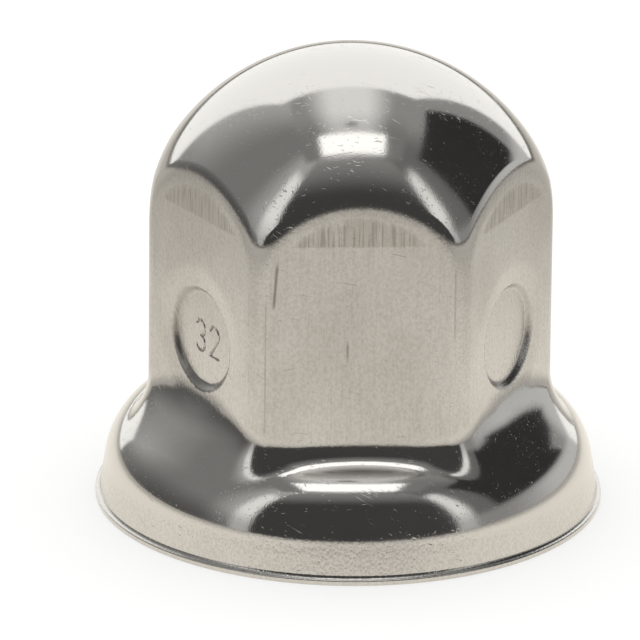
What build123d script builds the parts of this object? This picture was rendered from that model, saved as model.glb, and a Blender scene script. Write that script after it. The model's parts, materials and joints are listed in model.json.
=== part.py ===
from build123d import *
from math import atan2, cos, degrees, radians, sin, tan
import os

# A wheel nut cover, deep drawn in one piece from stainless sheet: six walls under a round dome,
# a round collar with a small turned-out lip, and round grip dimples pressed into every other wall.
# Millimetres. The origin is at the centre of the lip's underside, and +Z points up to the dome.

# Sheet and walls
sheet = 0.6                  # thickness of the pressed sheet
nut_across_flats = 32.0      # wheel nut that the cover is pushed over
nut_clearance = 0.4          # room between the nut and a wall, on each side
corner_inside = 2.2          # inside radius between two walls

# Dome, two tangent arcs turned about Z
cover_height = 44.5
dome_overhang = 0.3          # how far the dome's widest point would stand out past the rounded corners
dome_flattening = 2.3        # how much lower the dome is than half a ball
side_tightening = 2.5        # how much tighter than the dome's rise its side is bent
crease_inside = 0.4          # inside radius along the arches, where the dome meets the walls

# Collar
collar_top = 9.95            # height where the collar leaves the walls
collar_width = 4.6           # from the rounded corners out to the skirt where it meets the lip
skirt_flare = 8.5            # degrees that the skirt leans outward on its way down
shoulder_radius = 7.2        # outside bend between the collar's top and its skirt
root_radius = 1.8            # outside bend between the walls and the collar's top

# Lip
lip_width = 0.4              # how far the trimmed edge stands out from the skirt
lip_thickness = 0.5          # height of the upright trimmed edge
lip_bend = 0.4               # outside bend between the skirt and the lip
mouth_bend = 0.5             # inside bend at the mouth

# Grip dimples
dimple_directions = (90, 210, 330)   # degrees from +X to the walls that have one
dimple_height = 18.95        # centre of each dimple above the lip's underside
dimple_diameter = 10.2       # across the crisp outer edge
dimple_slope = 0.6           # width of the sloping edge
dimple_depth = 0.5           # from the crisp edge down to the flat floor
dish_diameter = 14.0         # shallow hollow drawn in around the dimple
dish_depth = 0.2

# Size number cut into the floor of one dimple
number_direction = 210
number_height = 3.0
number_width = 1.4           # of one figure
number_gap = 1.0             # between the two figures
number_shift = 0.4           # from the middle of the dimple, to the right
number_stroke = 0.26
number_depth = 0.12

# Sizes that follow from those above
wall_distance = nut_across_flats / 2 + nut_clearance + sheet   # outside of a wall from the axis
corner_radius = corner_inside + sheet
corner_distance = (wall_distance - corner_radius) / cos(radians(30)) + corner_radius
crease_radius = crease_inside + sheet
dome_radius = corner_distance + dome_overhang
dome_rise = dome_radius - dome_flattening
dome_side_bend = dome_rise - side_tightening
dome_base = cover_height - dome_rise
crown_radius = dome_radius + dome_flattening**2 / (2 * side_tightening)
collar_radius = corner_distance + collar_width
side_centre = Vector(dome_radius - dome_side_bend, dome_base)
crown_centre = Vector(0, cover_height - crown_radius)
towards_side = side_centre - crown_centre
meeting_angle = degrees(atan2(towards_side.Y, towards_side.X))   # where the two arcs are tangent


def outward(direction):
    """Plane through the dimples' height, with x along a wall's outward normal and y upward."""
    normal = Vector(cos(radians(direction)), sin(radians(direction)), 0)
    return Plane(origin=(0, 0, dimple_height), x_dir=normal, z_dir=normal.cross(Vector(0, 0, 1)))


def sheet_face(inset):
    """Solid bounded by a face of the sheet: 0 is its outside, and the sheet's thickness its inside."""
    wall = wall_distance - inset
    floor = wall - dish_depth - dimple_depth
    edge_shift = inset * tan(atan2(dimple_depth, dimple_slope) / 2)
    edge_radius = dimple_diameter / 2 + edge_shift
    slant = tan(radians(skirt_flare))
    skirt_foot = collar_radius - inset / cos(radians(skirt_flare))
    skirt_top = skirt_foot - (collar_top - inset - lip_thickness) * slant

    with BuildPart() as form:
        # Six walls, closed by the dome
        with BuildSketch(Plane.XY):
            RegularPolygon(wall, 6, major_radius=False)
            fillet(vertices(), corner_radius - inset)
        extrude(amount=cover_height)
        with BuildSketch(Plane.XZ):
            with BuildLine():
                side = CenterArc(side_centre, dome_side_bend - inset, 0, meeting_angle)
                crown = CenterArc(
                    crown_centre, crown_radius - inset, meeting_angle, 90 - meeting_angle
                )
                Polyline(crown @ 1, (0, 0), (dome_radius - inset, 0), side @ 0)
            make_face()
        revolve(axis=Axis.Z, mode=Mode.INTERSECT)
        fillet(edges(Select.NEW), crease_radius - inset)

        # Collar, with its shoulder, skirt and foot
        with BuildSketch(Plane.XZ):
            with BuildLine():
                Polyline(
                    (0, 0),
                    (0, collar_top - inset),
                    (skirt_top, collar_top - inset),
                    (skirt_foot, lip_thickness),
                    (skirt_foot + lip_thickness * slant, 0),
                    (0, 0),
                )
            make_face()
            shoulder = vertices().group_by(Axis.Y)[-1].sort_by(Axis.X)[-1]
            fillet(shoulder, shoulder_radius - inset)
        revolve(axis=Axis.Z)
        fillet(edges(Select.NEW), root_radius + inset)

        # Grip dimples, each in its shallow dish
        for direction in dimple_directions:
            with BuildSketch(outward(direction)) as press:
                with BuildLine():
                    Polyline(
                        (floor, 0),
                        (floor, edge_radius - dimple_slope),
                        (wall - dish_depth, edge_radius),
                        (wall, dish_diameter / 2),
                        (wall + sheet, dish_diameter / 2),
                        (wall + sheet, 0),
                        (floor, 0),
                    )
                make_face()
            press_axis = Axis((0, 0, dimple_height), press.workplanes[0].x_dir)
            revolve(axis=press_axis, mode=Mode.SUBTRACT)
    return form.part


def number_lines():
    """Centre lines of the figures 3 and 2, drawn about the middle of the number."""
    bowl = number_height / 4
    three = number_shift - (number_gap + number_width) / 2
    two = number_shift + (number_gap + number_width) / 2
    foot_left = (two - number_width / 2, -number_height / 2)
    foot_right = (two + number_width / 2, -number_height / 2)
    hook = CenterArc((two, bowl), bowl, 160, -200)
    return [
        CenterArc((three, bowl), bowl, 150, -240),
        CenterArc((three, -bowl), bowl, 90, -240),
        hook,
        Line(hook @ 1, foot_left),
        Line(foot_left, foot_right),
    ]


wall_normal = outward(number_direction).x_dir
floor_distance = wall_distance - dish_depth - dimple_depth
number_plane = Plane(
    origin=Vector(0, 0, dimple_height) + wall_normal * floor_distance,
    x_dir=Vector(0, 0, 1).cross(wall_normal),
    z_dir=wall_normal,
)
number_strokes = number_lines()
outside = sheet_face(0)
inside = sheet_face(sheet)

with BuildPart() as pressed_sheet:
    add(outside)

    # Turned-out lip around the foot
    with BuildSketch(Plane.XZ):
        with BuildLine():
            Polyline(
                (collar_radius - sheet, 0),
                (collar_radius + lip_width, 0),
                (collar_radius + lip_width, lip_thickness),
                (collar_radius - sheet, lip_thickness),
                (collar_radius - sheet, 0),
            )
        make_face()
    revolve(axis=Axis.Z)
    fillet(edges(Select.NEW), lip_bend)

    # Hollow inside, rounded outward at the mouth
    add(inside, mode=Mode.SUBTRACT)
    mouth = edges().filter_by(GeomType.CIRCLE).group_by(Axis.Z)[0].group_by(SortBy.RADIUS)[0]
    fillet(mouth, mouth_bend)

    # Size number in the floor of one dimple, one cut for each stroke
    for stroke in number_strokes:
        with BuildSketch(number_plane):
            trace(stroke, line_width=number_stroke)
        extrude(amount=-number_depth, mode=Mode.SUBTRACT)

    # Halved, so that no face has to run right round the axis
    split(bisect_by=Plane.YZ, keep=Keep.BOTH)

with BuildPart() as cover_shell:
    for half in pressed_sheet.solids():
        add(half, clean=False)

cover_shell.part.label = "cover_shell"

os.makedirs("parts", exist_ok=True)
export_step(cover_shell.part, "parts/cover_shell.step")
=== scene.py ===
"""A wheel nut cover of bright drawn stainless sheet, standing on its lip in a small pale studio."""

import json
import logging
import math
from dataclasses import dataclass, field
from collections.abc import Callable
from enum import Enum

import bpy
import numpy as np
from mathutils import Matrix, Vector

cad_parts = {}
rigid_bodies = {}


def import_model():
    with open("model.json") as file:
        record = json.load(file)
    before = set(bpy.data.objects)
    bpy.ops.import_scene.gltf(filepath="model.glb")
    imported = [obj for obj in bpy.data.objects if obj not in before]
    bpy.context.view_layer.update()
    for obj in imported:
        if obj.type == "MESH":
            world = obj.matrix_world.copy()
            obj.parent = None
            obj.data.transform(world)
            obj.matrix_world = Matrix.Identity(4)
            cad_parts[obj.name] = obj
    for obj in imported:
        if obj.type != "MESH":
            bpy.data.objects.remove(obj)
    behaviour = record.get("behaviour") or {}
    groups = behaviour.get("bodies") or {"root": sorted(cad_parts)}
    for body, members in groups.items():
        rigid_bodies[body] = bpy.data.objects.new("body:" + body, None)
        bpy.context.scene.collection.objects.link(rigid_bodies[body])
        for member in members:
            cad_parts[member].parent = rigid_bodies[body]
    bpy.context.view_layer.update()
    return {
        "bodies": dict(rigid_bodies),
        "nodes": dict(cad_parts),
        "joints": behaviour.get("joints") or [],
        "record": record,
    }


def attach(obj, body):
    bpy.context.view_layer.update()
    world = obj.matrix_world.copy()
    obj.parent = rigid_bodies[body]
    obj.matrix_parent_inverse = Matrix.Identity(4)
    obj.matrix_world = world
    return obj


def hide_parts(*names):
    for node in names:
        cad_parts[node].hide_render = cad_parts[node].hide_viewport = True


LOG = logging.getLogger("nut_cover")
MM = 0.001
SHELL_NODE = "cover_shell"


class NodeTree:
    """A thin helper round a node tree, so that a material reads as a short list of steps."""

    def __init__(self, tree: bpy.types.NodeTree) -> None:
        """Empties the tree and keeps it.

        Args:
            tree: the node tree to write into.
        """
        self.tree = tree
        self.tree.nodes.clear()

    def add(self, kind: str, **inputs: object) -> bpy.types.Node:
        """Adds a node and sets or links its inputs.

        Args:
            kind: the node's type, without its ShaderNode prefix.
            **inputs: values or output sockets, named as the sockets are with underscores,
                or in0, in1 and so on by position.

        Returns:
            The new node.
        """
        name = kind if kind.startswith("Node") else "ShaderNode" + kind
        node = self.tree.nodes.new(name)
        for key, value in inputs.items():
            index = int(key[2:]) if key[:2] == "in" and key[2:].isdigit() else None
            socket = node.inputs[index if index is not None else key.replace("_", " ")]
            self.put(socket, value)
        return node

    def put(self, socket: bpy.types.NodeSocket, value: object) -> None:
        """Links a socket to value if it is an output socket, and sets it otherwise."""
        if isinstance(value, bpy.types.NodeSocket):
            self.tree.links.new(value, socket)
        else:
            socket.default_value = value

    def math(self, operation: str, *values: object, clamp: bool = False) -> bpy.types.NodeSocket:
        """Adds a Math node.

        Args:
            operation: the Math node's operation.
            *values: numbers or output sockets.
            clamp: whether the result is kept between 0 and 1.

        Returns:
            Its output.
        """
        node = self.tree.nodes.new("ShaderNodeMath")
        node.operation = operation
        node.use_clamp = clamp
        for socket, value in zip(node.inputs, values):
            self.put(socket, value)
        return node.outputs[0]

    def ramp(self, value: object, low: object, high: object,
             start: float = 0.0, end: float = 1.0) -> bpy.types.NodeSocket:
        """Maps value from the span low to high onto start to end, smoothly and held at the ends.

        Returns:
            The mapped value.
        """
        node = self.tree.nodes.new("ShaderNodeMapRange")
        node.interpolation_type = "SMOOTHSTEP"
        for index, item in enumerate((value, low, high, start, end)):
            self.put(node.inputs[index], item)
        return node.outputs[0]

    def mix(self, factor: object, first: object, second: object) -> bpy.types.NodeSocket:
        """Adds a colour Mix node and returns its result."""
        node = self.tree.nodes.new("ShaderNodeMix")
        node.data_type = "RGBA"
        for index, item in ((0, factor), (6, first), (7, second)):
            self.put(node.inputs[index], item)
        return node.outputs[2]


@dataclass(frozen=True)
class Spread:
    """How a strength goes from start to end while a value goes from low to high."""

    low: float
    high: float
    start: float = 0.0
    end: float = 1.0

    def map(self, net: NodeTree, value: object) -> bpy.types.NodeSocket:
        """Returns the strength for a value."""
        return net.ramp(value, self.low, self.high, self.start, self.end)

    def over(self, net: NodeTree, value: object, mask: object) -> bpy.types.NodeSocket:
        """Returns the strength for a value, where the mask allows it."""
        return net.math("MULTIPLY", mask, self.map(net, value))


@dataclass(frozen=True)
class RoomTones:
    """Brightness of each part of the room that the bright metal mirrors."""

    backdrop: float = 1.25
    ceiling: float = 1.0
    ceiling_edge: float = 0.36
    window: float = 1.65
    spot: float = 0.28
    front_high: float = 0.3
    front_low: float = 0.06
    strip: float = 1.05
    left_near: float = 0.25
    left_far: float = 0.5
    right_frame: float = 0.36
    right_screen: float = 0.035
    background: float = 1.0
    fill: float = 0.92


@dataclass
class Room:
    """The studio as the world: a box open at the back, with a window, dark screens and lit gaps.

    A direction is placed on the box by dividing it by its height, for the ceiling, or by its
    sideways part, for the walls.
    """

    tones: RoomTones = field(default_factory=RoomTones)
    ceiling_half: float = 0.43
    ceiling_back: float = 0.64
    ceiling_front: float = -0.27
    wall_back: float = 1.28
    window_half: float = 0.265
    strip_middle: float = -0.73
    strip_half: float = 0.13

    def build(self) -> None:
        """Writes the world's nodes."""
        world = bpy.data.worlds.new("studio_room")
        world.use_nodes = True
        bpy.context.scene.world = world
        net = NodeTree(world.node_tree)
        x, y, z = net.add("SeparateXYZ", Vector=net.add("TexCoord").outputs["Generated"]).outputs
        rise = net.math("MAXIMUM", z, 0.01)
        reach = net.math("MAXIMUM", net.math("ABSOLUTE", x), 0.01)
        across = net.math("ABSOLUTE", net.math("DIVIDE", x, rise))
        along = net.math("DIVIDE", y, rise)
        wall_along = net.math("DIVIDE", y, reach)
        wall_up = net.math("DIVIDE", z, reach)
        tone = self.walls(net, x, wall_along, wall_up)
        front = net.ramp(along, -0.75, self.ceiling_front, self.tones.front_low, self.tones.front_high)
        is_front = net.math("MULTIPLY", net.ramp(wall_along, -0.84, -0.92),
                            net.ramp(along, self.ceiling_front, self.ceiling_front - 0.04))
        tone = self.blend(net, is_front, tone, front)
        tone = self.blend(net, self.ceiling_mask(net, across, along), tone,
                          self.ceiling(net, across, along))
        is_back = net.math("MULTIPLY", net.ramp(wall_along, self.wall_back - 0.05, self.wall_back + 0.05),
                           net.ramp(along, self.ceiling_back - 0.025, self.ceiling_back + 0.025))
        tone = self.blend(net, is_back, tone, self.tones.backdrop)
        self.finish_rays(net, tone)

    def blend(self, net: NodeTree, factor: object, first: object, second: object) -> bpy.types.NodeSocket:
        """Mixes two tones and returns the result."""
        kept = net.math("MULTIPLY", first, net.math("SUBTRACT", 1.0, factor))
        return net.math("MULTIPLY_ADD", second, factor, kept)

    def band(self, net: NodeTree, value: object, low: float, high: float,
             soft: float) -> bpy.types.NodeSocket:
        """Returns 1 between low and high and 0 outside, with soft edges."""
        return net.math("MULTIPLY", net.ramp(value, low - soft, low + soft),
                        net.ramp(value, high + soft, high - soft))

    def walls(self, net: NodeTree, x: object, along: object, up: object) -> bpy.types.NodeSocket:
        """Returns the tone of the two side walls and of the lit gap in front of each.

        Args:
            net: the world's nodes.
            x: sideways part of the direction, which tells left from right.
            along: place along the wall, from the front to the back.
            up: height on the wall.
        """
        tones = self.tones
        left = net.ramp(along, 0.2, 1.15, tones.left_near, tones.left_far)
        left = net.math("ADD", left, net.ramp(along, -0.2, -0.6, 0.0, 0.25))
        left = net.math("MULTIPLY", left, net.ramp(up, 0.0, 0.6, 0.45, 1.0))
        screen = net.math("MULTIPLY", self.band(net, along, -0.3, 0.88, 0.04),
                          self.band(net, up, 0.34, 1.68, 0.05))
        frame = net.ramp(up, 0.4, 0.2, tones.right_frame, tones.right_frame + 0.3)
        frame = net.math("MULTIPLY", frame, net.ramp(along, -0.3, 0.5, 0.5, 1.0))
        right = self.blend(net, screen, frame, tones.right_screen)
        wall = self.blend(net, net.ramp(x, -0.02, 0.02), left, right)
        strip = self.band(net, along, self.strip_middle - self.strip_half,
                          self.strip_middle + self.strip_half, 0.06)
        strip = net.math("MULTIPLY", strip, net.ramp(up, 2.1, 1.6))
        return self.blend(net, strip, wall, net.ramp(up, 0.1, 0.7, tones.strip * 0.55, tones.strip))

    def ceiling_mask(self, net: NodeTree, across: object, along: object) -> bpy.types.NodeSocket:
        """Returns where the ceiling is."""
        inside = net.ramp(across, self.ceiling_half + 0.02, self.ceiling_half - 0.02)
        return net.math("MULTIPLY", inside, net.ramp(along, self.ceiling_front - 0.02,
                                                     self.ceiling_front + 0.02))

    def ceiling(self, net: NodeTree, across: object, along: object) -> bpy.types.NodeSocket:
        """Returns the tone of the ceiling, with its window and the round fitting behind it."""
        tones = self.tones
        reach = net.ramp(along, 0.5, 0.0, 0.36, 0.3)
        tone = net.ramp(across, reach, 0.1, tones.ceiling_edge, tones.ceiling)
        tone = net.math("MULTIPLY", tone, net.ramp(along, 0.0, 0.3, 0.7, 1.0))
        spot = net.math("MULTIPLY", net.ramp(across, 0.05, 0.03), self.band(net, along, 0.065, 0.115, 0.01))
        tone = self.blend(net, spot, tone, tones.spot)
        window = net.math("MULTIPLY", net.ramp(across, self.window_half + 0.02, self.window_half - 0.02),
                          self.band(net, along, -0.235, -0.005, 0.015))
        return self.blend(net, window, tone, tones.window)

    def finish_rays(self, net: NodeTree, tone: object) -> None:
        """Shows the box to mirrored rays, plain white to the camera and an even fill to the rest."""
        rays = net.add("LightPath").outputs
        colour = net.add("CombineColor", Red=tone, Green=tone, Blue=net.math("MULTIPLY", tone, 0.985))
        mirrored = net.add("Background", Color=colour.outputs[0], Strength=1.0)
        plain = net.add("Background", Color=(1.0, 1.0, 1.0, 1.0), Strength=self.tones.fill)
        white = net.add("Background", Color=(1.0, 1.0, 1.0, 1.0), Strength=self.tones.background)
        lit = net.add("MixShader", in0=rays["Is Glossy Ray"], in1=plain.outputs[0],
                      in2=mirrored.outputs[0])
        seen = net.add("MixShader", in0=rays["Is Camera Ray"], in1=lit.outputs[0],
                       in2=white.outputs[0])
        net.add("OutputWorld", Surface=seen.outputs[0])


@dataclass
class Floor:
    """The pale table top. It keeps the cover's soft shadow and otherwise fades into the room."""

    half_width: float = 4.0
    colour: tuple[float, float, float] = (0.93, 0.93, 0.92)
    shadow_share: float = 0.5
    mirrored: tuple[float, float, float] = (1.0, 0.955, 0.875)
    near_to_far: Spread = Spread(0.03, 0.13, 0.96, 0.73)
    far_fade: Spread = Spread(0.3, 0.8, 1.0, 0.35)
    side_rise: Spread = Spread(0.012, 0.035)
    side_fall: Spread = Spread(0.09, 0.05)
    side_gain: float = 0.1
    side_fade: Spread = Spread(0.05, 0.12, 1.0, 0.8)

    def build(self) -> bpy.types.Object:
        """Returns the floor."""
        mesh = bpy.data.meshes.new("table_top")
        w = self.half_width
        mesh.from_pydata([(-w, -w, 0), (w, -w, 0), (w, w, 0), (-w, w, 0)], [], [(0, 1, 2, 3)])
        floor = bpy.data.objects.new("table_top", mesh)
        bpy.context.scene.collection.objects.link(floor)
        material = bpy.data.materials.new("table_white")
        material.use_nodes = True
        net = NodeTree(material.node_tree)
        matt = net.add("BsdfDiffuse", Color=(*self.colour, 1.0))
        glow = net.add("Emission", Color=(1.0, 1.0, 1.0, 1.0), Strength=1.0)
        rays = net.add("LightPath").outputs
        share = net.math("MULTIPLY", rays["Is Camera Ray"], 1.0 - self.shadow_share)
        surface = net.add("MixShader", in0=share, in1=matt.outputs[0], in2=glow.outputs[0])
        level = self.mirrored_level(net)
        bounce = net.add("Emission", Color=(*self.mirrored, 1.0), Strength=level)
        surface = net.add("MixShader", in0=rays["Is Glossy Ray"], in1=surface.outputs[0],
                          in2=bounce.outputs[0])
        net.add("OutputMaterial", Surface=surface.outputs[0])
        mesh.materials.append(material)
        return floor

    def mirrored_level(self, net: NodeTree) -> bpy.types.NodeSocket:
        """Returns how bright each place of the table looks in the metal."""
        place = net.add("TexCoord").outputs["Object"]
        away = net.add("VectorMath", in0=place)
        away.operation = "LENGTH"
        level = self.near_to_far.map(net, away.outputs["Value"])
        level = self.far_fade.over(net, away.outputs["Value"], level)
        aside = net.math("ABSOLUTE", net.add("SeparateXYZ", Vector=place).outputs[0])
        sides = self.side_fall.over(net, aside, self.side_rise.map(net, aside))
        level = net.math("MULTIPLY_ADD", net.math("MULTIPLY", level, sides), self.side_gain, level)
        return self.side_fade.over(net, aside, level)


@dataclass
class SoftLamp:
    """A broad soft lamp over the table."""

    name: str
    place: tuple[float, float, float]
    size: float
    power: float

    def build(self) -> bpy.types.Object:
        """Returns the lamp, aimed at the middle of the table."""
        light = bpy.data.lights.new(self.name, "AREA")
        light.size = self.size
        light.energy = self.power
        lamp = bpy.data.objects.new(self.name, light)
        lamp.location = self.place
        lamp.rotation_euler = (-Vector(self.place)).to_track_quat("-Z", "Y").to_euler()
        lamp.visible_glossy = False
        bpy.context.scene.collection.objects.link(lamp)
        return lamp


@dataclass
class ViewCamera:
    """The camera: a long lens a metre away, looking a little down on the cover."""

    distance: float = 1.0
    elevation: float = 20.75
    azimuth: float = -3.03
    roll: float = 0.6
    lens: float = 591.8
    aim: tuple[float, float, float] = (0.0, 0.0, 0.022)
    slide_right: float = -0.00286
    slide_up: float = -0.00425

    def build(self) -> bpy.types.Object:
        """Returns the camera, which is made the scene's own."""
        e, a = math.radians(self.elevation), math.radians(self.azimuth)
        back = Vector((math.sin(a) * math.cos(e), -math.cos(a) * math.cos(e), math.sin(e)))
        turn = back.to_track_quat("Z", "Y")
        right = turn @ Vector((1, 0, 0))
        up = turn @ Vector((0, 1, 0))
        data = bpy.data.cameras.new("view_camera")
        data.lens = self.lens
        data.sensor_width = 36.0
        data.clip_end = 20.0
        camera = bpy.data.objects.new("view_camera", data)
        place = Vector(self.aim) + back * self.distance
        place += right * self.slide_right + up * self.slide_up
        spin = Matrix.Rotation(math.radians(self.roll), 4, "Z")
        camera.matrix_world = Matrix.Translation(place) @ turn.to_matrix().to_4x4() @ spin
        bpy.context.scene.collection.objects.link(camera)
        bpy.context.scene.camera = camera
        return camera


def rounded_max(a: np.ndarray, b: np.ndarray, radius: float) -> np.ndarray:
    """Joins two fields where both are negative, with a rounded outer edge."""
    return np.minimum(-radius, np.maximum(a, b)) + np.hypot(
        np.maximum(radius + a, 0.0), np.maximum(radius + b, 0.0))


def rounded_min(a: np.ndarray, b: np.ndarray, radius: float) -> np.ndarray:
    """Joins two fields where either is negative, with a rounded inner corner."""
    return np.maximum(radius, np.minimum(a, b)) - np.hypot(
        np.maximum(radius - a, 0.0), np.maximum(radius - b, 0.0))


def smooth_step(value: np.ndarray, low: float, high: float) -> np.ndarray:
    """Rises smoothly from 0 at low to 1 at high."""
    t = np.clip((value - low) / (high - low), 0.0, 1.0)
    return t * t * (3.0 - 2.0 * t)


@dataclass(frozen=True)
class PressedSheet:
    """The sheet's outer face as a field in millimetres: negative inside, zero on the face."""

    sheet: float = 0.6
    wall: float = 17.0
    corner: float = 2.8
    height: float = 44.5
    dome_radius: float = 19.497
    dome_rise: float = 17.197
    dome_side_bend: float = 14.697
    crease: float = 0.5
    collar_top: float = 9.95
    collar_radius: float = 23.79
    flare: float = math.radians(8.5)
    shoulder: float = 7.2
    root: float = 1.8
    root_gain: float = 2.7
    lip_width: float = 0.4
    lip_height: float = 0.5
    lip_bend: float = 0.35
    dimple_height: float = 18.95
    dimple_radius: float = 5.1
    dimple_slope: float = 0.6
    dimple_depth: float = 0.5
    dish_radius: float = 7.0
    dish_depth: float = 0.2
    dimple_directions: tuple[float, ...] = (90.0, 210.0, 330.0)
    number_direction: float = 210.0
    number_height: float = 3.0
    number_width: float = 1.4
    number_gap: float = 1.0
    number_shift: float = 0.4
    number_stroke: float = 0.22
    number_depth: float = 0.12

    def walls(self, x: np.ndarray, y: np.ndarray) -> np.ndarray:
        """Distance from the six walls, whose corners are rounded."""
        apothem = self.wall - self.corner
        px, py = np.abs(x), np.abs(y)
        kx, ky, kz = -math.sqrt(0.75), 0.5, math.sqrt(1.0 / 3.0)
        fold = 2.0 * np.minimum(kx * px + ky * py, 0.0)
        px, py = px - fold * kx, py - fold * ky
        dx, dy = px - np.clip(px, -kz * apothem, kz * apothem), py - apothem
        return np.hypot(dx, dy) * np.sign(dy) - self.corner

    def dome(self, r: np.ndarray, z: np.ndarray) -> np.ndarray:
        """Distance from the dome: a crown arc above a side arc."""
        a, b, side = self.dome_radius, self.dome_rise, self.dome_side_bend
        base = self.height - b
        crown = (a * a + b * b - 2.0 * a * side) / (2.0 * (b - side))
        side_r, crown_z = a - side, self.height - crown
        meet = math.atan2(base - crown_z, side_r)
        is_crown = np.arctan2(z - crown_z, r) > meet
        lower = np.where(z < base, r - a, np.hypot(r - side_r, z - base) - side)
        return np.where(is_crown, np.hypot(r, z - crown_z) - crown, lower)

    def collar(self, r: np.ndarray, z: np.ndarray) -> np.ndarray:
        """Distance from the collar: a flat top, a rounded shoulder and a leaning skirt."""
        c, s = math.cos(self.flare), math.sin(self.flare)
        top = z - self.collar_top
        skirt = (r - self.collar_radius) * c + (z - self.lip_height) * s
        middle_z = self.collar_top - self.shoulder
        middle_r = self.collar_radius - (self.shoulder + (middle_z - self.lip_height) * s) / c
        angle = np.arctan2(z - middle_z, r - middle_r)
        on_bend = (angle > self.flare) & (angle < math.pi / 2)
        bend = np.hypot(r - middle_r, z - middle_z) - self.shoulder
        return np.where(on_bend, bend, np.maximum(top, skirt))

    def press(self, x: np.ndarray, y: np.ndarray, z: np.ndarray) -> np.ndarray:
        """Depth that the grip dimples and their dishes are pressed in."""
        depth = np.zeros_like(x)
        for direction in self.dimple_directions:
            c, s = math.cos(math.radians(direction)), math.sin(math.radians(direction))
            facing = x * c + y * s > 0.8 * self.wall
            sideways, rise = y * c - x * s, z - self.dimple_height
            away = np.hypot(sideways, rise)
            floor = 1.0 - smooth_step(away, self.dimple_radius - self.dimple_slope - 0.1,
                                      self.dimple_radius + 0.1)
            dish = 1.0 - smooth_step(away, self.dimple_radius - 0.6, self.dish_radius + 0.4)
            pressed = self.dimple_depth * floor + self.dish_depth * dish
            if direction == self.number_direction:
                pressed = pressed + self.number_depth * self.number_mask(sideways, rise)
            depth = np.where(facing, pressed, depth)
        return depth

    def recess_shade(self, x: np.ndarray, y: np.ndarray, z: np.ndarray) -> np.ndarray:
        """Painted shade: 1 along the dimples' crisp edges, stronger on one side, and in the number's
        strokes, where these recesses are darkened as shade.
        """
        line = np.zeros_like(x)
        for direction in self.dimple_directions:
            c, s = math.cos(math.radians(direction)), math.sin(math.radians(direction))
            facing = x * c + y * s > 0.8 * self.wall
            sideways, rise = y * c - x * s, z - self.dimple_height
            away = np.hypot(sideways, rise) - self.dimple_radius + 0.35
            edge = np.exp(-(away / 0.24) ** 2) * (0.45 + 0.4 * smooth_step(sideways, 1.0, -5.0))
            if direction == self.number_direction:
                edge = np.maximum(edge, 0.25 * self.number_mask(sideways, rise))
            line = np.where(facing, edge, line)
        return line

    def number_mask(self, u: np.ndarray, v: np.ndarray) -> np.ndarray:
        """1 in the strokes of the size number and 0 away from them."""
        bowl = self.number_height / 4.0
        apart, half = (self.number_gap + self.number_width) / 2.0, self.number_width / 2.0
        left, right = self.number_shift - apart, self.number_shift + apart
        end = math.radians(-40.0)
        hook = (right + bowl * math.cos(end), bowl + bowl * math.sin(end))
        foot, toe = (right - half, -2.0 * bowl), (right + half, -2.0 * bowl)
        away = np.minimum.reduce([
            arc_distance(u, v, (left, bowl), bowl, -90.0, 150.0),
            arc_distance(u, v, (left, -bowl), bowl, -150.0, 90.0),
            arc_distance(u, v, (right, bowl), bowl, -40.0, 160.0),
            line_distance(u, v, hook, foot), line_distance(u, v, foot, toe)])
        return 1.0 - smooth_step(away, self.number_stroke * 0.25, self.number_stroke * 0.7)

    def root_radius(self, x: np.ndarray, y: np.ndarray) -> np.ndarray:
        """Bend between walls and collar, which is wider below the dimples and round to the corners."""
        turn = np.cos(3.0 * (np.arctan2(y, x) - math.radians(self.dimple_directions[0])))
        return self.root + self.root_gain * smooth_step(turn, -0.65, 0.9)

    def body(self, x: np.ndarray, y: np.ndarray, z: np.ndarray) -> np.ndarray:
        """The cover without its lip."""
        r = np.hypot(x, y)
        cap = rounded_max(self.walls(x, y), self.dome(r, z), self.crease)
        root = self.root_radius(x, y)
        return rounded_min(cap, self.collar(r, z), root) + self.press(x, y, z)

    def outside(self, x: np.ndarray, y: np.ndarray, z: np.ndarray) -> np.ndarray:
        """The whole outer face, lip and all."""
        r = np.hypot(x, y)
        lip = rounded_max(r - self.collar_radius - self.lip_width, z - self.lip_height, 0.08)
        return rounded_min(self.body(x, y, z), lip, self.lip_bend)

    def inside(self, x: np.ndarray, y: np.ndarray, z: np.ndarray) -> np.ndarray:
        """The hollow, which opens out into a rounded mouth."""
        return rounded_min(self.body(x, y, z) + self.sheet, z, 0.5)


def arc_distance(u: np.ndarray, v: np.ndarray, middle: tuple[float, float], radius: float,
                 start: float, end: float) -> np.ndarray:
    """Distance from an arc that runs from start to end, in degrees."""
    angle = np.degrees(np.arctan2(v - middle[1], u - middle[0]))
    centre = (start + end) / 2.0
    off = np.abs((angle - centre + 180.0) % 360.0 - 180.0)
    on_arc = np.abs(np.hypot(u - middle[0], v - middle[1]) - radius)
    ends = [np.hypot(u - middle[0] - radius * math.cos(math.radians(t)),
                     v - middle[1] - radius * math.sin(math.radians(t))) for t in (start, end)]
    return np.where(off < (end - start) / 2.0, on_arc, np.minimum(*ends))


def line_distance(u: np.ndarray, v: np.ndarray, start: tuple[float, float],
                  end: tuple[float, float]) -> np.ndarray:
    """Distance from a straight stroke."""
    du, dv = end[0] - start[0], end[1] - start[1]
    t = np.clip(((u - start[0]) * du + (v - start[1]) * dv) / (du * du + dv * dv), 0.0, 1.0)
    return np.hypot(u - start[0] - t * du, v - start[1] - t * dv)


class SheetSide(Enum):
    """The two faces of the sheet."""

    OUTER = "outer"
    INNER = "inner"


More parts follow.
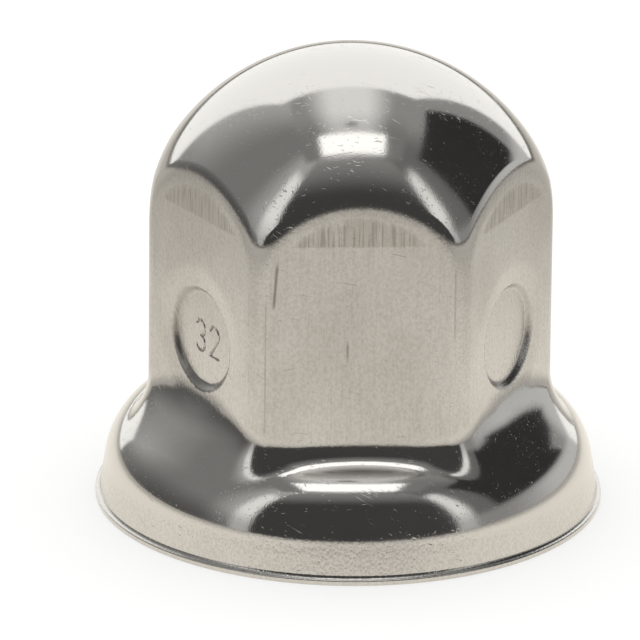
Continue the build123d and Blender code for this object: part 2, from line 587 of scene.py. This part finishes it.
@dataclass
class CoverShell:
    """The whole cover as one closed mesh, found by walking rays out to the sheet's two faces.

    Each row of points is one family of rays, fanned over the dome and parallel below it.
    """

    form: PressedSheet = field(default_factory=PressedSheet)
    columns: int = 270
    dimple_columns: int = 58
    dimple_half_angle: float = 18.0
    number_columns: int = 52
    number_half_angle: float = 7.6
    ray_rise: float = math.radians(30.0)
    fan_height: float = 27.0
    lip_chamfer: float = 0.06

    def angles(self) -> np.ndarray:
        """Returns the columns' directions, closer together at the dimples and the number."""
        kept = np.arange(self.columns) * (360.0 / self.columns)
        spans = [(direction, self.dimple_half_angle, self.dimple_columns)
                 for direction in self.form.dimple_directions]
        spans.append((self.form.number_direction, self.number_half_angle, self.number_columns))
        for middle, half, count in spans:
            fine = np.linspace(middle - half, middle + half, count)
            kept = np.concatenate([kept[np.abs(kept - middle) > half + 0.25], fine])
        return np.radians(np.sort(kept))

    def crease_start(self) -> np.ndarray:
        """Returns, for each column, where the level ray through the arch starts on the axis."""
        form, angle = self.form, self.angles()
        low, high = np.full(angle.shape, 10.0), np.full(angle.shape, 25.0)
        for _ in range(30):
            middle = (low + high) / 2.0
            outside = form.walls(middle * np.cos(angle), middle * np.sin(angle)) > 0.0
            high, low = np.where(outside, middle, high), np.where(outside, low, middle)
        side = high - (form.dome_radius - form.dome_side_bend)
        arch = form.height - form.dome_rise + np.sqrt(form.dome_side_bend ** 2 - side ** 2)
        return arch - high * math.tan(self.ray_rise)

    def stations(self, side: SheetSide) -> tuple[np.ndarray, np.ndarray]:
        """Returns the starting height of every ray, rows by columns, and each row's rise."""
        crease = self.crease_start()
        inner = side is SheetSide.INNER
        foot = -13.75 if inner else -13.9
        edges = (self.fan_height, crease + 0.45, crease - 0.75, 16.2, 10.8, 7.5, 2.1, -1.6, -12.2,
                 foot)
        counts = (5, 6, 4, 8, 5, 8, 6, 8, 6) if inner else (8, 13, 9, 24, 30, 24, 17, 26, 16)
        fan_rows = 9 if inner else 24
        fan = np.linspace(math.pi / 2, self.ray_rise, fan_rows + 1)[1:-1]
        starts, rises = [np.full((fan.size, crease.size), self.fan_height)], [fan]
        for low, high, count in zip(edges, edges[1:], counts):
            ends = [np.broadcast_to(value, crease.shape) for value in (low, high)]
            starts.append(np.linspace(*ends, count, endpoint=False))
            rises.append(np.full(count, self.ray_rise))
        return np.concatenate(starts), np.concatenate(rises)[:, None]

    def walk(self, face: Callable[..., np.ndarray], side: SheetSide) -> np.ndarray:
        """Finds where each ray crosses a face, by halving.

        Returns:
            The points, rows by columns by three, in millimetres.
        """
        angle = self.angles()[None, :]
        start, rise = self.stations(side)
        dx, dy = np.cos(rise) * np.cos(angle), np.cos(rise) * np.sin(angle)
        dz = np.sin(rise) + 0.0 * angle
        low = np.full(dx.shape, 8.0)
        high = np.full(dx.shape, 34.0)
        for _ in range(34):
            middle = (low + high) / 2.0
            outside = face(dx * middle, dy * middle, start + dz * middle) > 0.0
            high = np.where(outside, middle, high)
            low = np.where(outside, low, middle)
        return np.stack([dx * high, dy * high, start + dz * high], axis=-1)

    def slope(self, face: Callable[..., np.ndarray], points: np.ndarray) -> np.ndarray:
        """Returns the face's outward unit normal at each point."""
        step = 0.01
        parts = []
        for axis in np.eye(3) * step:
            ahead, behind = points + axis, points - axis
            parts.append(face(*np.moveaxis(ahead, -1, 0)) - face(*np.moveaxis(behind, -1, 0)))
        normal = np.stack(parts, axis=-1)
        return normal / np.linalg.norm(normal, axis=-1, keepdims=True)

    def ring(self, radius: float, height: float) -> np.ndarray:
        """Returns one level ring of points."""
        angle = self.angles()
        return np.stack([radius * np.cos(angle), radius * np.sin(angle), 0.0 * angle + height], -1)

    def build(self) -> bpy.types.Object:
        """Returns the finished mesh."""
        form = self.form
        outer = self.walk(form.outside, SheetSide.OUTER)
        inner = self.walk(form.inside, SheetSide.INNER)
        outer_normals = self.slope(form.outside, outer)
        inner_normals = -self.slope(form.inside, inner)
        lip_edge = form.collar_radius + form.lip_width
        rings = [self.ring(lip_edge, self.lip_chamfer), self.ring(lip_edge - self.lip_chamfer, 0.0)]
        ring_normals = [self.ring(1.0, 0.0), self.ring(0.0, -1.0)]
        grid = np.concatenate([outer, np.stack(rings), inner[::-1]])
        normals = np.concatenate([outer_normals, np.stack(ring_normals), inner_normals[::-1]])
        top = np.array([[0.0, 0.0, form.height], [0.0, 0.0, form.height - form.sheet]])
        top_normals = np.array([[0.0, 0.0, 1.0], [0.0, 0.0, -1.0]])
        rows, columns = grid.shape[:2]
        points = np.concatenate([grid.reshape(-1, 3), top]) * MM
        normals = np.concatenate([normals.reshape(-1, 3), top_normals])
        faces = self.faces(rows, columns)
        mesh = bpy.data.meshes.new("pressed_cover")
        mesh.from_pydata(points.tolist(), [], faces)
        mesh.polygons.foreach_set("use_smooth", [True] * len(mesh.polygons))
        mesh.update()
        mesh.normals_split_custom_set_from_vertices(normals.tolist())
        self.paint_masks(mesh, points / MM)
        cover = bpy.data.objects.new("pressed_cover", mesh)
        bpy.context.scene.collection.objects.link(cover)
        return cover

    def faces(self, rows: int, columns: int) -> list[tuple[int, ...]]:
        """Returns the faces of the grid and of the fans that close it at the top."""
        here = np.arange(rows * columns).reshape(rows, columns)
        after = np.roll(here, -1, axis=1)
        quads = np.stack([here[:-1], here[1:], after[1:], after[:-1]], axis=-1).reshape(-1, 4)
        faces = [tuple(quad) for quad in quads.tolist()]
        outer_top, inner_top = rows * columns, rows * columns + 1
        faces += [(outer_top, a, b) for a, b in zip(here[0].tolist(), after[0].tolist())]
        faces += [(inner_top, b, a) for a, b in zip(here[-1].tolist(), after[-1].tolist())]
        return faces

    def paint_masks(self, mesh: bpy.types.Mesh, points: np.ndarray) -> None:
        """Stores where the satin walls are, how far below the arches each point lies, and where shade is
        painted along the dimple edges and in the number.
        """
        x, y, z = points.T
        r = np.hypot(x, y)
        form = self.form
        above = form.walls(x, y) - form.dome(r, z)
        rise = (z - form.collar_top) / form.root_radius(x, y)
        on_walls = smooth_step(above, -0.15, 0.35) * smooth_step(rise, 0.35, 1.05)
        drop = -form.dome(r, z)
        # Painted shade: darkened lines along the dimples' edges and in the number's strokes.
        line = form.recess_shade(x, y, z)
        for name, values in (("satin_wall", on_walls), ("below_arch", drop), ("recess_shade", line)):
            layer = mesh.attributes.new(name, "FLOAT", "POINT")
            layer.data.foreach_set("value", np.ascontiguousarray(values, dtype=np.float32))


class EffectGroup:
    """A shader node group with named inputs and outputs, built once and used by name."""

    def __init__(self, name: str, inputs: dict[str, tuple[str, object]], outputs: dict[str, str]) -> None:
        """Makes the group's sockets.

        Args:
            name: the group's name.
            inputs: each input's kind of socket and default value.
            outputs: each output's kind of socket.
        """
        self.group = bpy.data.node_groups.new(name, "ShaderNodeTree")
        for label, (kind, value) in inputs.items():
            socket = self.group.interface.new_socket(label, in_out="INPUT", socket_type=kind)
            if value is not None:
                socket.default_value = value
        for label, kind in outputs.items():
            self.group.interface.new_socket(label, in_out="OUTPUT", socket_type=kind)
        self.net = NodeTree(self.group)
        self.inputs = self.net.add("NodeGroupInput").outputs
        self.end = self.net.add("NodeGroupOutput")

    def use(self, net: NodeTree, **inputs: object) -> bpy.types.bpy_prop_collection:
        """Adds the group to a tree and returns its outputs."""
        node = net.tree.nodes.new("ShaderNodeGroup")
        node.node_tree = self.group
        for key, value in inputs.items():
            net.put(node.inputs[key.replace("_", " ")], value)
        return node.outputs


def scaled(net: NodeTree, place: object, scale: tuple[float, float, float]) -> bpy.types.NodeSocket:
    """Returns a place stretched along each axis."""
    return net.add("Mapping", Vector=place, Scale=scale).outputs[0]


def noise(net: NodeTree, place: object, size: float, detail: float = 2.0) -> bpy.types.NodeSocket:
    """Returns a noise of the given scale."""
    return net.add("TexNoise", Vector=place, Scale=size, Detail=detail).outputs[0]


def draw_lines() -> EffectGroup:
    """Builds the upright lines that the press draws along the walls."""
    group = EffectGroup("draw_lines", {"Place": ("NodeSocketVector", None)},
                        {"Coarse": "NodeSocketFloat", "Fine": "NodeSocketFloat",
                         "Grain": "NodeSocketFloat"})
    net, place = group.net, group.inputs["Place"]
    coarse = noise(net, scaled(net, place, (1.0, 1.0, 0.05)), 1.9, 3.0)
    fine = noise(net, scaled(net, place, (1.0, 1.0, 0.035)), 6.5, 2.0)
    grain = noise(net, scaled(net, place, (1.0, 1.0, 0.7)), 4.2, 3.0)
    for label, value in (("Coarse", coarse), ("Fine", fine), ("Grain", grain)):
        net.put(group.end.inputs[label], value)
    return group


def scratches() -> EffectGroup:
    """Builds thin straight scratches: long narrow peaks of a stretched noise, in patches."""
    group = EffectGroup("scratches", {"Place": ("NodeSocketVector", None),
                                      "Threshold": ("NodeSocketFloat", 0.7)},
                        {"Mask": "NodeSocketFloat"})
    net, total = group.net, 0.0
    for tilt, size in (((0.2, 1.35, 0.1), 5.0), ((0.7, 1.0, 0.5), 6.5), ((1.2, 0.4, 1.0), 5.5),
                       ((0.1, 1.75, 0.3), 7.5)):
        turned = net.add("Mapping", Vector=group.inputs["Place"], Rotation=tilt)
        drawn = scaled(net, turned.outputs[0], (1.0, 1.0, 0.035))
        line = net.ramp(noise(net, drawn, size, 1.0), group.inputs["Threshold"], 0.8)
        line = net.math("MULTIPLY", line, net.ramp(noise(net, turned.outputs[0], 0.5, 1.0), 0.48, 0.6))
        total = net.math("MAXIMUM", total, line)
    net.put(group.end.inputs["Mask"], total)
    return group


@dataclass(frozen=True)
class RubLine:
    """A dark upright rub on the front wall, in millimetres.

    It stands at middle, runs from low to high, and leans by lean for each unit of height.
    """

    middle: float
    low: float
    high: float
    half_width: float
    strength: float
    lean: float = 0.0
    soft_end: float = 0.5

    def build(self, net: NodeTree, x: object, z: object) -> bpy.types.NodeSocket:
        """Returns the rub's mask."""
        centre = net.math("MULTIPLY_ADD", net.math("SUBTRACT", z, self.low), self.lean, self.middle)
        off = net.math("ABSOLUTE", net.math("SUBTRACT", x, centre))
        across = net.ramp(off, self.half_width * 2.0, self.half_width * 0.3, 0.0, self.strength)
        foot = net.ramp(z, self.low - self.soft_end, self.low + self.soft_end)
        head = net.ramp(z, self.high + self.soft_end, self.high - self.soft_end)
        return net.math("MULTIPLY", across, net.math("MULTIPLY", foot, head))


RUB_LINES = (
    RubLine(-8.1, 25.2, 29.4, 0.11, 0.75, lean=0.07),
    RubLine(-8.85, 12.6, 25.6, 0.07, 0.3),
    RubLine(-1.15, 20.0, 21.6, 0.09, 0.6),
    RubLine(8.9, 22.0, 28.6, 0.08, 0.3),
)


@dataclass(frozen=True)
class DrawnSteel:
    """Bright drawn stainless: polished dome and collar, satin walls with fine upright draw lines.

    Heights and distances are in millimetres. A Spread says how a noise or a mask turns into wear.
    """

    tint: tuple[float, float, float] = (0.64, 0.625, 0.6)
    worn: tuple[float, float, float] = (0.51, 0.49, 0.46)
    # Dark colour used for the grime streaks, the real rub lines, and the painted shade at the dimple edges
    # and in the number.
    grime_and_shade: tuple[float, float, float] = (0.2, 0.18, 0.16)
    polished: float = 0.07
    satin: float = 0.27
    smudge: float = 0.04
    skirt_roughness: float = 0.1
    scratch_roughness: float = 0.25
    scratch_depth: float = 0.8
    polished_relief: float = 0.1
    relief_strength: float = 0.16
    relief_metres: float = 0.00012
    cloud_size: float = 0.09
    streak_start: Spread = Spread(31.05, 31.35)
    arch_rim: Spread = Spread(0.7, 1.1)
    skirt_span: Spread = Spread(4.4, 2.6)
    front_wall: Spread = Spread(-14.0, -15.0)
    streak_wear: Spread = Spread(0.4, 0.58, 0.4, 2.4)
    streak_grime: Spread = Spread(0.48, 0.62, 0.0, 0.4)
    line_wear: Spread = Spread(0.45, 0.72, 0.0, 0.3)
    grain_wear: Spread = Spread(0.35, 0.68, 0.0, 0.55)
    cloud_wear: Spread = Spread(0.4, 0.62, 0.0, 0.3)
    skirt_wear: Spread = Spread(0.35, 0.65, 0.0, 0.45)
    smudges: Spread = Spread(0.4, 0.65)

    def build(self) -> bpy.types.Material:
        """Returns the material."""
        material = bpy.data.materials.new("drawn_stainless")
        material.use_nodes = True
        net = NodeTree(material.node_tree)
        place = scaled(net, net.add("TexCoord").outputs["Object"], (1.0 / MM,) * 3)
        height = net.add("SeparateXYZ", Vector=place).outputs[2]
        satin = self.attribute(net, "satin_wall")
        skirt = self.skirt_span.map(net, height)
        lines = draw_lines().use(net, Place=place)
        marks = scratches().use(net, Place=place)["Mask"]
        cloud = noise(net, place, self.cloud_size, 2.0)
        streaks = self.arch_rim.over(net, self.attribute(net, "below_arch"),
                                     self.streak_start.map(net, height))
        streaks = net.math("MULTIPLY", streaks, satin)
        wear = self.streak_wear.over(net, lines["Coarse"], streaks)
        for spread, value, mask in ((self.line_wear, lines["Fine"], satin),
                                    (self.grain_wear, lines["Grain"], satin),
                                    (self.cloud_wear, cloud, satin),
                                    (self.skirt_wear, lines["Grain"], skirt)):
            wear = net.math("ADD", wear, spread.over(net, value, mask), clamp=True)
        colour = net.mix(wear, (*self.tint, 1.0), (*self.worn, 1.0))
        colour = net.mix(self.streak_grime.over(net, lines["Fine"], streaks), colour, (*self.grime_and_shade, 1.0))
        # Painted shade at the dimple edges and in the number's strokes, together with the real rub lines on
        # the front wall, takes the dark colour.
        rub_and_shade = net.math("MAXIMUM", self.attribute(net, "recess_shade"), self.rubs(net, place))
        colour = net.mix(rub_and_shade, colour, (*self.grime_and_shade, 1.0))
        rough = self.polished
        for amount, mask in ((self.smudge, self.smudges.map(net, cloud)),
                             (self.satin - self.polished, satin),
                             (self.skirt_roughness, skirt),
                             (self.scratch_roughness, marks)):
            rough = net.math("ADD", rough, net.math("MULTIPLY", mask, amount))
        shader = net.add("BsdfPrincipled", Base_Color=colour, Metallic=1.0, Roughness=rough,
                         Normal=self.relief(net, lines, marks, net.math("MAXIMUM", satin, skirt)))
        net.add("OutputMaterial", Surface=shader.outputs[0])
        return material

    def relief(self, net: NodeTree, lines: object, marks: object,
               rough_parts: object) -> bpy.types.NodeSocket:
        """Returns the normal: draw lines and grain, full on the rough parts, with the scratches cut in.

        Args:
            net: the material's nodes.
            lines: outputs of the draw lines group.
            marks: the scratches' mask.
            rough_parts: 1 on the satin walls and the skirt.
        """
        grain = net.math("ADD", lines["Fine"], lines["Grain"])
        share = net.math("MULTIPLY_ADD", rough_parts, 1.0 - self.polished_relief, self.polished_relief)
        height = net.math("SUBTRACT", net.math("MULTIPLY", grain, share),
                          net.math("MULTIPLY", marks, self.scratch_depth))
        bump = net.add("Bump", Height=height, Strength=self.relief_strength, Distance=self.relief_metres)
        return bump.outputs[0]

    def rubs(self, net: NodeTree, place: object) -> bpy.types.NodeSocket:
        """Returns the mask of the few dark rub lines on the front wall."""
        x, y, z = net.add("SeparateXYZ", Vector=place).outputs
        total = 0.0
        for rub in RUB_LINES:
            total = net.math("MAXIMUM", total, rub.build(net, x, z))
        return self.front_wall.over(net, y, total)

    def attribute(self, net: NodeTree, name: str) -> bpy.types.NodeSocket:
        """Returns a value stored on the mesh."""
        node = net.add("Attribute")
        node.attribute_name = name
        return node.outputs["Fac"]


def main() -> None:
    """Builds the studio and dresses the cover."""
    logging.basicConfig(level=logging.INFO, format="%(name)s: %(message)s")
    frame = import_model()
    scene = bpy.context.scene
    scene.view_settings.view_transform = "Standard"
    Room().build()
    floor = Floor().build()
    LOG.info("built %s", floor.name)
    lamp = SoftLamp("overhead_lamp", (0.0, 0.15, 0.9), 0.8, 3.0).build()
    LOG.info("built %s", lamp.name)
    ViewCamera().build()
    cover = CoverShell().build()
    cover.data.materials.append(DrawnSteel().build())
    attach(cover, "root")
    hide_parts(SHELL_NODE)
    LOG.info("built %s with %d faces", cover.name, len(cover.data.polygons))


if __name__ == "__main__":
    main()
